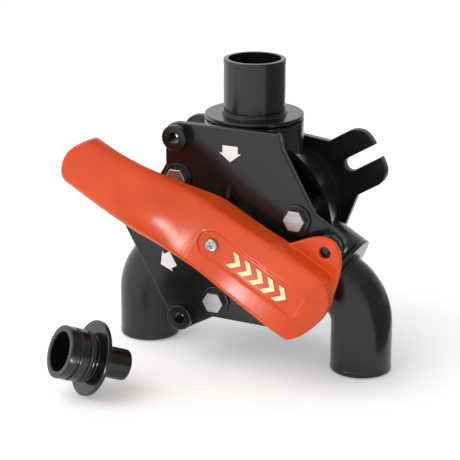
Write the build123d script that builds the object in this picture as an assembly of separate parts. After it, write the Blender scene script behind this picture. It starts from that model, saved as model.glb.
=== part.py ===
"""Three-way Y diverter valve for 38 mm hose, with a locking lever and a loose reducer.

Working frame while modelling: x to the right, y up, z out from the wall (mm).
Every part is turned at the end so that +Z is up and +Y points into the wall.
"""
import math
import os

from build123d import *

# Driving dimensions ---------------------------------------------------------

# Heights out from the wall
BRACKET_T = 5.0
CHAMBER_FLOOR = 15.0
PORT_H = 42.0
RIM_H = 54.0
PLATE_BACK = 73.5
PLATE_FRONT = 77.5
PAD_TOP = 79.0
BOSS_TOP = 84.0
EAR_BACK = 84.6
EAR_FRONT = 88.0

# Hose tails and port collars
TAIL_R = 19.0
TAIL_BORE_R = 16.2
BEAD_R = 19.2
BEAD_L = 3.4
FLANGE_R = 30.5
FLANGE_IN = 65.0
FLANGE_OUT = 67.5
STEP_R = 20.2
STEP_L = 1.8
INLET_END = 101.4
PLUG_R = 25.0
PLUG_IN = 44.8
COLLAR_R = 30.5
COLLAR_BORE_R = 25.08
COLLAR_OUT = 64.0
COLLAR_SEAT = 44.5
GROOVE_FLOOR_R = 22.8
SEAL_AT = 49.5
SEAL_W = 3.0
CATCH_AT = 56.9
CATCH_T = 2.0
CATCH_GROOVE_W = 2.6
CATCH_GROOVE_R = 21.8

# Elbows
BEND_R = 28.0
OUTLET_X = 73.8
OUTLET_END_Y = -88.4
PORT_ANGLES = {"top": 90.0, "left": 210.0, "right": 330.0}

# Rear housing
BOWL_BASE_R = 42.5
BOWL_RIM_R = 57.7
BOWL_WALL = 3.2
POCKET_FLOOR = 26.0
CHAMBER_R = 36.0
DRUM_R = 39.4
REAR_BOSS_R = 9.0

# Front cover
BASE_BEAD = 1.8
BOLT_CIRCLE_R = 46.35
BOLT_ANGLE = 18.46
COLUMN_R = 6.65
PAD_R = 9.2
LOCK_CIRCLE_R = 66.7
LOCK_ANGLE = 1.4
LOCK_BOSS_R = 8.0
LOCK_RING_R = 8.6
LOCK_HOLE_R = 3.6
ARROW_Y = 49.7
HUB_R = 19.0
GUSSET_R = 32.5
GUSSET_T = 2.4
BUSH_OUT_R = 9.0

# Rotor and shaft
SHAFT_R = 6.0
SHAFT_FIT = 0.05
DISC_R = 35.5
GATE_IN_R = 31.5
GATE_OUT_R = 35.3
GATE_HALF_DEG = 35.0
SQUARE = 9.0

# Fasteners
BOLT_R = 4.0
BOLT_HOLE_R = 4.2
BOLT_HEAD_FLATS = 12.0
BOLT_HEAD_H = 4.0
INSERT_R = 5.4
BOLT_END = 34.0

# Bracket
ARM_ANGLE = 31.4
ARM_HALF_W = 19.3
ARM_TIP_R = 79.5
SLOT_R = 4.4
SLOT_IN_R = 58.9
BASE_SCREW_CIRCLE_R = 30.0

# Lever
LEVER_ANGLE = 150.0
LEVER_TOP = 103.5
EAR_R = 76.6
EAR_HOLE_R = 66.2
EAR_HOLE_ANGLE = -0.2
PANEL_DEPTH = 0.8
PANEL_TILT = 1.94

# Loose reducer
REDUCER_X = -58.6
REDUCER_Y = -66.5
REDUCER_H = 147.6
REDUCER_TAIL_DIR = (0.579, -0.3682, -0.7275)
REDUCER_FLANGE_R = 23.1
REDUCER_PLUG_R = 16.1
REDUCER_TAIL_R = 9.6
REDUCER_PLUG_L = 21.9
REDUCER_TAIL_L = 22.9


# Helpers --------------------------------------------------------------------

def polar(radius, degrees):
    """Point at a radius and angle in the plane of the wall."""
    angle = math.radians(degrees)
    return radius * math.cos(angle), radius * math.sin(angle)


def disc(radius, low, high, x=0.0, y=0.0):
    """Cylinder standing out from the wall between two heights."""
    return Pos(x, y, (low + high) / 2) * Cylinder(radius, high - low)


def tube(outer, inner, low, high, x=0.0, y=0.0):
    """Ring standing out from the wall between two heights."""
    return disc(outer, low, high, x, y) - disc(inner, low - 1, high + 1, x, y)


def hexagon(flats, low, high, x=0.0, y=0.0, turn=0.0):
    """Hexagonal prism with the given width across flats."""
    outline = RegularPolygon(flats / 2, 6, major_radius=False, rotation=turn)
    return extrude(Pos(x, y, low) * outline, high - low)


def thirds(solid):
    """The solid and its two copies turned by 120 and 240 degrees, fused."""
    return solid + Rot(0, 0, 120) * solid + Rot(0, 0, 240) * solid


def thirds_apart(solid):
    """The solid and its two turned copies as separate solids."""
    return Compound(children=[Rot(0, 0, 120 * k) * solid for k in range(3)])


def along_port(name, solid):
    """Place a solid, built along +Z from the valve centre, on a named port."""
    dx, dy = polar(1.0, PORT_ANGLES[name])
    return Plane(origin=(0, 0, PORT_H), x_dir=(0, 0, 1), z_dir=(dx, dy, 0)).location * solid


# Port fittings --------------------------------------------------------------

def plug():
    """Flanged plug common to all three port fittings, on +Z."""
    body = disc(PLUG_R, PLUG_IN, FLANGE_IN) + disc(FLANGE_R, FLANGE_IN, FLANGE_OUT)
    body += disc(STEP_R, FLANGE_OUT, FLANGE_OUT + STEP_L)
    low = SEAL_AT - SEAL_W / 2
    body -= tube(PLUG_R + 1, GROOVE_FLOOR_R, low, low + SEAL_W)
    low = CATCH_AT - CATCH_GROOVE_W / 2
    body -= tube(PLUG_R + 1, CATCH_GROOVE_R, low, low + CATCH_GROOVE_W)
    rim = body.edges().filter_by(GeomType.CIRCLE).group_by(Axis.Z)[-3]
    return fillet(rim, 0.5) if rim else body


def straight_spigot():
    """Straight hose tail on its plug."""
    body = plug() + disc(TAIL_R, FLANGE_OUT, INLET_END)
    body += disc(BEAD_R, INLET_END - BEAD_L, INLET_END)
    body -= disc(TAIL_BORE_R, PLUG_IN - 1, INLET_END + 1)
    rim = body.edges().filter_by(GeomType.CIRCLE).group_by(Axis.Z)[-1]
    return chamfer(rim.sort_by(SortBy.RADIUS)[-1], 0.8)


def elbow(name):
    """Hose tail that turns from its port to straight down."""
    dx, dy = polar(1.0, PORT_ANGLES[name])
    corner_r = OUTLET_X / abs(dx)
    tangent = BEND_R * math.tan(math.radians(30))
    start = Vector(dx, dy, 0) * (FLANGE_OUT - 4)
    bend_in = Vector(dx, dy, 0) * (corner_r - tangent)
    corner_y = dy * corner_r
    bend_out = Vector(math.copysign(OUTLET_X, dx), corner_y - tangent, 0)
    end = Vector(math.copysign(OUTLET_X, dx), OUTLET_END_Y, 0)
    bend = TangentArc(bend_in, bend_out, tangent=(dx, dy, 0))
    path = Pos(0, 0, PORT_H) * (Line(start, bend_in) + bend + Line(bend_out, end))
    face = Plane(origin=start + Vector(0, 0, PORT_H), z_dir=(dx, dy, 0))
    outer = sweep(face * Circle(TAIL_R), path=path)
    inner = sweep(face * Circle(TAIL_BORE_R), path=path)
    bead = Pos(end.X, OUTLET_END_Y + BEAD_L / 2, PORT_H) * Cylinder(
        BEAD_R, BEAD_L, rotation=(90, 0, 0))
    bead = chamfer(bead.edges().sort_by(Axis.Y)[0], 0.8)
    body = along_port(name, plug()) + outer + bead - inner
    body -= along_port(name, disc(TAIL_BORE_R, PLUG_IN - 1, FLANGE_OUT - 3))
    mouth = Pos(end.X, OUTLET_END_Y, PORT_H) * Cylinder(TAIL_BORE_R, 8, rotation=(90, 0, 0))
    return body - mouth


def port_seal(name):
    """Ring seal in the inner groove of a plug."""
    low = SEAL_AT - SEAL_W / 2
    ring = tube(PLUG_R, GROOVE_FLOOR_R, low + 0.2, low + SEAL_W - 0.2)
    ring = fillet(ring.edges().filter_by(GeomType.CIRCLE), 0.8)
    return along_port(name, ring)


# Housing, cover and bracket -------------------------------------------------

def rear_housing():
    """Bowl with the rotor chamber and the three port collars."""
    depth = RIM_H - BRACKET_T
    slope = (BOWL_RIM_R - BOWL_BASE_R) / depth
    cone = Pos(0, 0, BRACKET_T + depth / 2) * Cone(BOWL_BASE_R, BOWL_RIM_R, depth)
    bowl = cone + disc(BOWL_BASE_R + BASE_BEAD, BRACKET_T, BRACKET_T + 3.0)
    pocket_r = BOWL_BASE_R + slope * (POCKET_FLOOR - BRACKET_T) - BOWL_WALL
    pocket_top_r = BOWL_RIM_R + slope - BOWL_WALL
    pocket_depth = RIM_H + 1 - POCKET_FLOOR
    pocket = Pos(0, 0, POCKET_FLOOR + pocket_depth / 2) * Cone(pocket_r, pocket_top_r, pocket_depth)
    boss = disc(REAR_BOSS_R, POCKET_FLOOR - 1, RIM_H + 2, *polar(BOLT_CIRCLE_R, BOLT_ANGLE))
    body = bowl - (pocket - thirds(boss))
    body += disc(DRUM_R, POCKET_FLOOR - 1, PLATE_BACK)
    for name in PORT_ANGLES:
        body += along_port(name, disc(COLLAR_R, DRUM_R - 12, COLLAR_OUT))
    body -= disc(CHAMBER_R, CHAMBER_FLOOR, PLATE_BACK + 1)
    for name in PORT_ANGLES:
        body -= along_port(name, disc(COLLAR_BORE_R, COLLAR_SEAT, COLLAR_OUT + 1))
        body -= along_port(name, disc(TAIL_BORE_R, 20, COLLAR_SEAT + 1))
    slot = Pos(0, CATCH_AT, PLATE_BACK - 7) * Box(16.8, CATCH_GROOVE_W, 14)
    body -= thirds(slot)
    insert = disc(INSERT_R, BOLT_END + 4, RIM_H + 1, *polar(BOLT_CIRCLE_R, BOLT_ANGLE))
    tip = disc(BOLT_HOLE_R, BOLT_END - 1, BOLT_END + 5, *polar(BOLT_CIRCLE_R, BOLT_ANGLE))
    body -= thirds(insert + tip)
    body -= disc(BUSH_OUT_R, 7.5, CHAMBER_FLOOR + 1)
    body -= tube(38.5, 36.9, PLATE_BACK - 1.6, PLATE_BACK + 1)
    body -= thirds(disc(2.4, BRACKET_T - 1, 13.5, *polar(BASE_SCREW_CIRCLE_R, 60)))
    return body


def cover_outline():
    """Outline of the cover: three straight port edges, each ending in a round lug."""
    corner = Vector(32.0, 65.5)
    step = Vector(33.5, 57.0)
    lug_x, lug_y = polar(LOCK_CIRCLE_R, 120 + LOCK_ANGLE)
    kink = Vector(*polar(58.0, 138.5))
    edges = []
    for k in range(3):
        spin = 120.0 * k
        tangent = Vector(lug_x, lug_y + LOCK_RING_R).rotate(Axis.Z, spin)
        side = Vector(lug_x - LOCK_RING_R, lug_y).rotate(Axis.Z, spin)
        middle = Vector(lug_x - LOCK_RING_R * math.sin(math.pi / 4),
                        lug_y + LOCK_RING_R * math.sin(math.pi / 4)).rotate(Axis.Z, spin)
        edges.append(Line(step.rotate(Axis.Z, spin), corner.rotate(Axis.Z, spin)))
        edges.append(Line(corner.rotate(Axis.Z, spin), tangent))
        edges.append(ThreePointArc(tangent, middle, side))
        edges.append(Line(side, kink.rotate(Axis.Z, spin)))
        edges.append(Line(kink.rotate(Axis.Z, spin), step.rotate(Axis.Z, spin + 120)))
    return make_face(Wire(edges))


def arrow_outline(inward):
    """Flow arrow 14.4 mm wide and 10 mm long, near the top port edge."""
    tip = -5.0 if inward else 5.0
    tail = -tip
    neck = -0.1 * tip
    points = [(0, tip), (7.2, neck), (5.0, neck), (5.0, tail), (-5.0, tail), (-5.0, neck), (-7.2, neck)]
    return make_face(Polyline(*points, close=True))


def arrow_solid(inward):
    """Arrow inlay 0.8 mm thick, flush with the cover's face."""
    return extrude(Pos(0, ARROW_Y, PLATE_FRONT - 0.8) * arrow_outline(inward), 0.8)


def flow_arrows():
    """Inlays: in at the top port, out at the two lower ones."""
    parts = [arrow_solid(True)]
    parts += [Rot(0, 0, 120 * k) * arrow_solid(False) for k in (1, 2)]
    return parts


def catch():
    """Tab on the cover's back that holds a plug by its groove."""
    tab = Pos(0, CATCH_AT, (PLATE_BACK + 62) / 2) * Box(16.0, CATCH_T, PLATE_BACK - 62)
    saddle = along_port("top", disc(CATCH_GROOVE_R + 0.4, 50, 64))
    return tab - saddle


def front_cover():
    """Cover plate with lock lugs, bolt pads, hub and gussets."""
    plate = extrude(Pos(0, 0, PLATE_BACK) * cover_outline(), PLATE_FRONT - PLATE_BACK)
    corners = plate.edges().filter_by(Axis.Z)
    plate = fillet([e for e in corners if math.hypot(e.center().X, e.center().Y) > 72], 2.0)
    plate = fillet(plate.faces().sort_by(Axis.Z)[-1].outer_wire().edges(), 0.9)
    lug = disc(LOCK_RING_R, PLATE_BACK, PLATE_FRONT + 1.2, *polar(LOCK_CIRCLE_R, LOCK_ANGLE))
    lug += disc(LOCK_BOSS_R, PLATE_FRONT, BOSS_TOP, *polar(LOCK_CIRCLE_R, LOCK_ANGLE))
    lug = fillet(lug.faces().sort_by(Axis.Z)[-1].edges(), 0.6)
    body = plate + thirds(lug)
    pad = disc(PAD_R, PLATE_FRONT - 1, PAD_TOP, *polar(BOLT_CIRCLE_R, BOLT_ANGLE))
    body += thirds(fillet(pad.faces().sort_by(Axis.Z)[-1].edges(), 0.7))
    body += disc(HUB_R, PLATE_FRONT - 1, BOSS_TOP)
    profile = make_face(Polyline((HUB_R - 1, PLATE_FRONT - 1), (GUSSET_R, PLATE_FRONT - 1),
                                 (GUSSET_R, PLATE_FRONT), (HUB_R, BOSS_TOP - 0.5),
                                 (HUB_R - 1, BOSS_TOP - 0.5), close=True))
    gusset = extrude(Plane.YZ * profile, GUSSET_T / 2, both=True)
    body += thirds(gusset)
    column = disc(COLUMN_R, RIM_H, PLATE_BACK + 1, *polar(BOLT_CIRCLE_R, BOLT_ANGLE))
    body += thirds(column)
    body += tube(35.9, 31.5, 70.0, PLATE_BACK + 1)
    body += tube(14.0, BUSH_OUT_R - 1, 70.0, PLATE_BACK + 1)
    body += thirds(catch())
    body -= thirds(disc(LOCK_HOLE_R, PLATE_BACK - 1, BOSS_TOP + 1, *polar(LOCK_CIRCLE_R, LOCK_ANGLE)))
    body -= thirds(disc(BOLT_HOLE_R, RIM_H - 1, PAD_TOP + 1, *polar(BOLT_CIRCLE_R, BOLT_ANGLE)))
    body -= disc(BUSH_OUT_R, 69, BOSS_TOP + 1)
    for arrow in flow_arrows():
        body -= arrow
    return body


def mounting_bracket():
    """Flat plate with three open-slotted arms."""
    root = ARM_HALF_W / math.sin(math.radians(20.2))
    points = []
    for k in range(3):
        arm = ARM_ANGLE + 120 * k
        points += [polar(root, arm - 20.2), polar(root, arm + 20.2), polar(48.0, arm + 60)]
    plate = extrude(make_face(Polyline(*points, close=True)), BRACKET_T)
    arm = Pos(ARM_TIP_R / 2, 0, BRACKET_T / 2) * Box(ARM_TIP_R, 2 * ARM_HALF_W, BRACKET_T)
    arm &= disc(ARM_TIP_R, 0, BRACKET_T)
    tips = [e for e in arm.edges().filter_by(Axis.Z) if e.center().X > 60]
    arm = fillet(tips, 11.0)
    slot = disc(SLOT_R, -1, BRACKET_T + 1, SLOT_IN_R)
    slot += Pos(SLOT_IN_R + 15, 0, BRACKET_T / 2) * Box(30, 2 * SLOT_R, BRACKET_T + 2)
    body = plate + thirds(Rot(0, 0, ARM_ANGLE) * arm)
    body -= thirds(Rot(0, 0, ARM_ANGLE) * slot)
    rim = body.faces().sort_by(Axis.Z)[-1].outer_wire().edges()
    body = chamfer(rim, 0.4)
    sink = Pos(0, 0, 1.3) * Cone(4.8, 2.6, 2.6)
    hole = sink + disc(2.6, -1, BRACKET_T + 1)
    x, y = polar(BASE_SCREW_CIRCLE_R, 60)
    return body - thirds(Pos(x, y, 0) * hole)


# Rotor and bearings ---------------------------------------------------------

def sector(inner, outer, half_deg, low, high):
    """Curved wall centred on +X."""
    reach = outer * 2
    wedge = [(0, 0), polar(reach, -half_deg), polar(reach, half_deg)]
    cut = extrude(Pos(0, 0, low) * make_face(Polyline(*wedge, close=True)), high - low)
    return tube(outer, inner, low, high) & cut


def rotor():
    """Two discs joined by a core and by the gate that closes one port."""
    body = disc(DISC_R, 15.6, 18.6) + disc(DISC_R, 66.0, 69.0) + disc(9.0, 18.0, 67.0)
    body += sector(GATE_IN_R, GATE_OUT_R, GATE_HALF_DEG, 18.0, 67.0)
    body -= sector(GATE_OUT_R - 1, GATE_OUT_R + 1, GATE_HALF_DEG - 4, 23.0, 61.0)
    body -= disc(SHAFT_R, 14, 70)
    return Rot(0, 0, PORT_ANGLES["right"]) * body


def gate_seal():
    """Rubber pad set in the gate's outer face."""
    pad = sector(GATE_OUT_R - 1, 35.7, GATE_HALF_DEG - 4, 23.0, 61.0)
    return Rot(0, 0, PORT_ANGLES["right"]) * pad


SHAFT_SEAL_AT = (75.0, 80.0)


def drive_shaft():
    """Shaft from the rear bush to the lever's square socket."""
    body = disc(SHAFT_R, 8.2, EAR_BACK - 0.3)
    body += Pos(0, 0, 90.5) * Rot(0, 0, 45) * Box(SQUARE, SQUARE, 13.0)
    for at in SHAFT_SEAL_AT:
        body -= tube(SHAFT_R + 1, 4.9, at - 1.0, at + 1.0)
    body -= disc(2.1, 84.0, 98.0)
    return body


def shaft_seals():
    """Two ring seals in the shaft's grooves."""
    rings = []
    for at in SHAFT_SEAL_AT:
        ring = tube(SHAFT_R, 4.9, at - 0.9, at + 0.9)
        rings.append(fillet(ring.edges().filter_by(GeomType.CIRCLE), 0.4))
    return Compound(children=rings)


def front_bush():
    """Bearing bush in the cover's hub."""
    return tube(BUSH_OUT_R, SHAFT_R + SHAFT_FIT, 70.0, BOSS_TOP - 0.3)


def rear_bush():
    """Bearing bush in the chamber floor."""
    return tube(BUSH_OUT_R, SHAFT_R + SHAFT_FIT, 7.8, CHAMBER_FLOOR)


def cover_seal():
    """Flat ring between the chamber's rim and the cover."""
    return tube(38.5, 36.9, PLATE_BACK - 1.6, PLATE_BACK)


# Fasteners ------------------------------------------------------------------

def cover_bolts():
    """Hexagon-head bolts through the cover into the housing."""
    x, y = polar(BOLT_CIRCLE_R, BOLT_ANGLE)
    bolts = []
    for k in range(3):
        head = hexagon(BOLT_HEAD_FLATS, PAD_TOP, PAD_TOP + BOLT_HEAD_H, turn=-4.0 - 120 * k)
        head &= Pos(0, 0, PAD_TOP + 2) * Cone(11.0, 6.0, 6.0)
        bolt = Pos(x, y, 0) * (head + disc(BOLT_R, BOLT_END, PAD_TOP))
        bolts.append(Rot(0, 0, 120 * k) * bolt)
    return Compound(children=bolts)


def threaded_inserts():
    """Brass inserts that take the cover bolts."""
    x, y = polar(BOLT_CIRCLE_R, BOLT_ANGLE)
    return thirds_apart(tube(INSERT_R, BOLT_R, BOLT_END + 4, RIM_H - 0.5, x, y))


def bracket_screws():
    """Countersunk screws from the bracket's back into the housing."""
    x, y = polar(BASE_SCREW_CIRCLE_R, 60)
    head = Pos(0, 0, 1.5) * Cone(4.5, 2.4, 2.4)
    screw = head + disc(2.3, 2.0, 13.0) - disc(1.4, -1, 1.6)
    return thirds_apart(Pos(x, y, 0) * screw)


def handle_screw():
    """Pan-head cross-slot screw into the shaft's end."""
    low = LEVER_TOP - PANEL_DEPTH
    head = disc(4.1, low, low + 2.4)
    head = fillet(head.faces().sort_by(Axis.Z)[-1].edges(), 1.6)
    cross = Box(4.2, 0.9, 2.4) + Box(0.9, 4.2, 2.4)
    head -= Pos(0, 0, low + 2.4) * Rot(0, 0, 15) * cross
    return head + disc(2.1, 86.0, low)


# Lever ----------------------------------------------------------------------

# Cross-sections along the lever: place, half width, underside, top, top radius, bottom radius
LEVER_SECTIONS = [
    (-78.5, 24.0, EAR_BACK, 89.0, 2.0, 0.6),
    (-73.0, 24.2, EAR_BACK, 97.6, 2.6, 0.6),
    (-64.0, 24.2, EAR_BACK, 101.2, 3.2, 0.6),
    (-30.0, 23.0, EAR_BACK, 102.6, 3.4, 0.6),
    (-2.0, 21.4, EAR_BACK, 103.5, 3.6, 0.6),
    (12.0, 21.3, EAR_BACK + 0.6, 105.0, 4.0, 1.5),
    (24.0, 21.2, 90.8, 109.2, 4.6, 3.0),
    (40.0, 20.5, 98.8, 115.6, 5.4, 5.0),
    (56.0, 19.5, 104.6, 120.0, 6.0, 6.5),
    (76.0, 18.2, 108.4, 123.2, 6.2, 7.0),
    (102.0, 17.0, 111.2, 125.4, 6.2, 7.0),
]


def lever_section(x, half_width, low, high, top_radius, bottom_radius):
    """Rounded cross-section of the lever in a plane across its length."""
    outline = Pos(0, (low + high) / 2) * Rectangle(2 * half_width, high - low)
    corners = outline.vertices().sort_by(Axis.Y)
    outline = fillet(corners[2:], top_radius)
    outline = fillet(outline.vertices().sort_by(Axis.Y)[:2], bottom_radius)
    return Plane(origin=(x, 0, 0), x_dir=(0, 1, 0), z_dir=(1, 0, 0)) * outline


def lever_plan():
    """Plan of the lever's two rounded ends."""
    nose = Spline((-60, 27.0), (-70.5, 21.0), (-77.0, 8.0), (-77.0, -8.0), (-70.5, -21.0), (-60, -27.0))
    grip_end = Spline((85, -22.0), (95.6, -12.8), (100.6, 0.0), (98.6, 10.4), (90, 22.0))
    far = Polyline((-60, -27.0), (-60, -32), (85, -32), (85, -22.0))
    near = Polyline((90, 22.0), (90, 32), (-60, 32), (-60, 27.0))
    return make_face(Wire([nose, *far.edges(), grip_end, *near.edges()]))


def lever_body():
    """Cranked lever lofted through its sections and trimmed to its plan."""
    body = loft([lever_section(*section) for section in LEVER_SECTIONS])
    return body & extrude(Pos(0, 0, 80) * lever_plan(), 50)


def ear():
    """Flat ear with the padlock hole, beside the pointer end."""
    x, y = polar(EAR_HOLE_R, EAR_HOLE_ANGLE - LEVER_ANGLE)
    arc_start = Vector(*polar(EAR_R, 172))
    arc_mid = Vector(*polar(EAR_R, 190))
    arc_end = Vector(*polar(EAR_R, 203.0))
    crown = Vector(x - 1.5, y - 9.3)
    flank = Vector(-49.9, -39.4)
    root = Vector(-34.9, -22.0)
    rim = ThreePointArc(arc_start, arc_mid, arc_end)
    cap = ThreePointArc(arc_end, Vector(-65.4, -37.9), crown)
    shoulder = Spline(crown, flank, Vector(-41.2, -29.9), root)
    edges = [rim, cap, shoulder, Line(root, Vector(-34.9, 0)), Line(Vector(-34.9, 0), arc_start)]
    plate = extrude(Pos(0, 0, EAR_BACK) * make_face(Wire(edges)), EAR_FRONT - EAR_BACK)
    return plate


def panel_outline(grow=0.0):
    """Recessed label panel: round at the pivot, square at the pointer end."""
    radius = 9.2 + grow
    bar = Pos(-30.5, 0) * Rectangle(61 + grow, 2 * radius - 2)
    return fillet(bar.vertices(), 2.0) + Circle(radius)


def handle():
    """Lever with its ear, label recess, square socket and cored underside."""
    body = lever_body()
    body += ear()
    body -= disc(LOCK_HOLE_R, EAR_BACK - 1, EAR_FRONT + 1, *polar(EAR_HOLE_R, EAR_HOLE_ANGLE - LEVER_ANGLE))
    body -= extrude(Pos(0, 0, LEVER_TOP - PANEL_DEPTH) * Circle(9.2), 6)
    channel = extrude(Pos(0, 0, LEVER_TOP - PANEL_DEPTH) * panel_outline(), 6)
    body -= Rot(0, -PANEL_TILT, 0) * channel
    body -= Pos(0, 0, 91.0) * Rot(0, 0, 45 - LEVER_ANGLE) * Box(SQUARE, SQUARE, 14.0)
    body -= disc(2.4, 96, 110)
    for x in (-26.0, -44.5):
        for y in (-9.0, 9.0):
            body -= Pos(x, y, 90.5) * Box(16.0, 15.0, 13.0)
    return Rot(0, 0, LEVER_ANGLE) * body


def handle_marks():
    """Row of raised chevrons pointing at the closed port."""
    marks = []
    for k in range(5):
        x = -13.5 - 8.4 * k
        points = [(-4.5, 0), (0, 5.0), (3.4, 5.0), (-1.1, 0), (3.4, -5.0), (0, -5.0)]
        face = Pos(x, 0, LEVER_TOP - PANEL_DEPTH + 0.01) * make_face(Polyline(*points, close=True))
        marks.append(Rot(0, 0, LEVER_ANGLE) * Rot(0, -PANEL_TILT, 0) * extrude(face, 0.5))
    return Compound(children=marks)


# Loose reducer --------------------------------------------------------------

def laid(solid):
    """Lay a solid built on +Z down at the reducer's place, tail low and towards the wall."""
    where = Plane(origin=(REDUCER_X, REDUCER_Y, REDUCER_H), z_dir=REDUCER_TAIL_DIR)
    return where.location * solid


def reducer():
    """Stepped reducer: grooved plug, flange and small hose tail."""
    body = disc(REDUCER_PLUG_R, -REDUCER_PLUG_L, 0)
    body += disc(REDUCER_FLANGE_R, -1.6, 1.2)
    body += disc(REDUCER_TAIL_R, 0, REDUCER_TAIL_L)
    body -= tube(REDUCER_PLUG_R + 1, REDUCER_PLUG_R - 1.2, -16.4, -15.0)
    body -= tube(REDUCER_PLUG_R + 1, REDUCER_PLUG_R - 2.4, -8.6, -6.4)
    body -= tube(REDUCER_PLUG_R + 1, REDUCER_PLUG_R - 2.6, -4.6, -1.6)
    body -= disc(12.1, -REDUCER_PLUG_L - 1, -4.0)
    body -= disc(7.2, -5.0, REDUCER_TAIL_L + 1)
    rims = body.edges().filter_by(GeomType.CIRCLE).group_by(Axis.Z)
    body = fillet(rims[-1].sort_by(SortBy.RADIUS)[-1], 1.6)
    return laid(body)


def reducer_seal():
    """Ring seal in the reducer's deep groove."""
    ring = tube(REDUCER_PLUG_R, REDUCER_PLUG_R - 2.4, -8.4, -6.6)
    ring = fillet(ring.edges().filter_by(GeomType.CIRCLE), 0.6)
    return laid(ring)


# Assembly -------------------------------------------------------------------

def assembly():
    """Every piece by node name, in the working frame."""
    return {
        "mounting_bracket": mounting_bracket(),
        "bracket_screws": bracket_screws(),
        "rear_housing": rear_housing(),
        "rear_bush": rear_bush(),
        "cover_seal": cover_seal(),
        "front_cover": front_cover(),
        "front_bush": front_bush(),
        "flow_arrows": Compound(children=flow_arrows()),
        "cover_bolts": cover_bolts(),
        "threaded_inserts": threaded_inserts(),
        "rotor": rotor(),
        "gate_seal": gate_seal(),
        "drive_shaft": drive_shaft(),
        "shaft_seals": shaft_seals(),
        "inlet_spigot": along_port("top", straight_spigot()),
        "inlet_seal": port_seal("top"),
        "left_elbow": elbow("left"),
        "left_elbow_seal": port_seal("left"),
        "right_elbow": elbow("right"),
        "right_elbow_seal": port_seal("right"),
        "handle": handle(),
        "handle_screw": handle_screw(),
        "handle_marks": handle_marks(),
        "reducer": reducer(),
        "reducer_seal": reducer_seal(),
    }


def main():
    """Turn each piece into the final frame and write one STEP file per node."""
    os.makedirs("parts", exist_ok=True)
    final = Plane(origin=(0, 0, 0), x_dir=(1, 0, 0), z_dir=(0, -1, 0)).location
    for name, piece in assembly().items():
        export_step(final * piece, f"parts/{name}.step")


if __name__ == "__main__":
    main()
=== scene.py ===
"""Look of a three-way hose diverter valve: moulded body, cranked lever, bracket and reducer."""
import logging
import math
from dataclasses import dataclass, field, replace
from enum import Enum
from typing import Callable, Iterable, Sequence

import bmesh
import bpy
from mathutils import Matrix, Vector


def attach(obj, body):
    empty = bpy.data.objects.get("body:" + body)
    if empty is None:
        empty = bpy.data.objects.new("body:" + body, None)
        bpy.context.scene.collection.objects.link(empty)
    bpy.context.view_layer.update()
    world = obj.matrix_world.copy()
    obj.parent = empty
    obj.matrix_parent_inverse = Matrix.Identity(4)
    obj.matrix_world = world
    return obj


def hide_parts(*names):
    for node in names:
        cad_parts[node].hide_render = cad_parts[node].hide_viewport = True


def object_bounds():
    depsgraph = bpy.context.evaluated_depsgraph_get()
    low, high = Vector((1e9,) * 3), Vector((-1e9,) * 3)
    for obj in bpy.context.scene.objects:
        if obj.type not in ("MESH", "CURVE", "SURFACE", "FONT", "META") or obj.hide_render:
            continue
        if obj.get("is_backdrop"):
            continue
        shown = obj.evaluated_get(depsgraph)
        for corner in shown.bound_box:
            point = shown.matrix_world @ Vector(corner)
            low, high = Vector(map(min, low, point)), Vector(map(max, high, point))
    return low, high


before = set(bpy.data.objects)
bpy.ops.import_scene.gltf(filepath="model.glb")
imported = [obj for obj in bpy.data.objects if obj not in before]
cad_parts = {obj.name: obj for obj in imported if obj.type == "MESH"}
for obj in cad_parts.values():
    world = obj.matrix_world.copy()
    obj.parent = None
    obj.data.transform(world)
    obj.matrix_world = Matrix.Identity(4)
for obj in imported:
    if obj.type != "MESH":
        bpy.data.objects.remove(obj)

LOG = logging.getLogger("valve")
MM = 0.001
TINY = 1e-6  # Lengths below this count as nothing, mm
# Working frame (x right, y up, z out from the wall, mm) to the row frame (metres)
TO_ROW = Matrix(((MM, 0, 0, 0), (0, 0, -MM, 0), (0, MM, 0, 0), (0, 0, 0, 1)))

# Noise of the broad mottling, of the handling marks and of the fine texture
MOTTLE_SCALE, MOTTLE_DETAIL = 45.0, 4.0
MARK_SCALE, MARK_DETAIL = 260.0, 8.0
GRAIN_DETAIL = 3.0
# Noise values between which the mottling, and a handling mark, fade in
MOTTLE_FADE = (0.35, 0.7)
MARK_FADE = (0.62, 0.72)
# A handling mark is this much paler and duller
MARK_GAIN, MARK_LIFT, MARK_DULL = 1.25, 0.02, 0.9
LEAST_ROUGHNESS = 0.02

# Mesh clean-up of a frame node: weld distance (m) and angle of a flat edge (degrees)
NODE_WELD = 2e-6
NODE_FLAT = 0.4
# Rebuilt surface of a moulding: weld distance (mm), smoothing share and passes, and the length
# (mm) over which the extra rounding comes in
MOULD_WELD = 0.002
SMOOTH_SHARE = 0.5
EVEN_PASSES = 3
ROUND_PASSES = 45
ROUND_RUN = 8.0
MOULD_SHARP = 75  # Edges of a moulding steeper than this stay crisp, degrees
TUBE_SHARP = 50  # The same for lathe and swept pieces
BOLT_SHARP = 24  # And for bolts
# Softened rims: edges steeper than this (degrees), in this many segments, and how the painted
# highlight of a rim varies in second colour and roughness
RIM_ANGLE = 40
RIM_SEGMENTS = 2
RIM_SECOND = 0.8
RIM_SPREAD = 0.1
NEARLY_STRAIGHT = math.radians(175)
SHELL_WELD = 1e-5  # Weld distance of a shell, mm
FOLDED = 1e-9  # Summed normals shorter than this cancel out
ROUND_SHARE = 0.45  # Share of an edge that a rounded corner may take
INSET_LEAST = 0.35  # Keeps a sharp corner from running away when a loop is inset

Point2 = tuple[float, float]
Loop = list[Point2]
Path = Callable[[float], tuple[Vector, Vector]]


class Body(Enum):
    """Bodies that pieces ride on."""

    VALVE = "valve_body"
    LEVER = "lever"
    LEFT = "left_outlet"
    RIGHT = "right_outlet"
    REDUCER = "loose_reducer"


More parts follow.
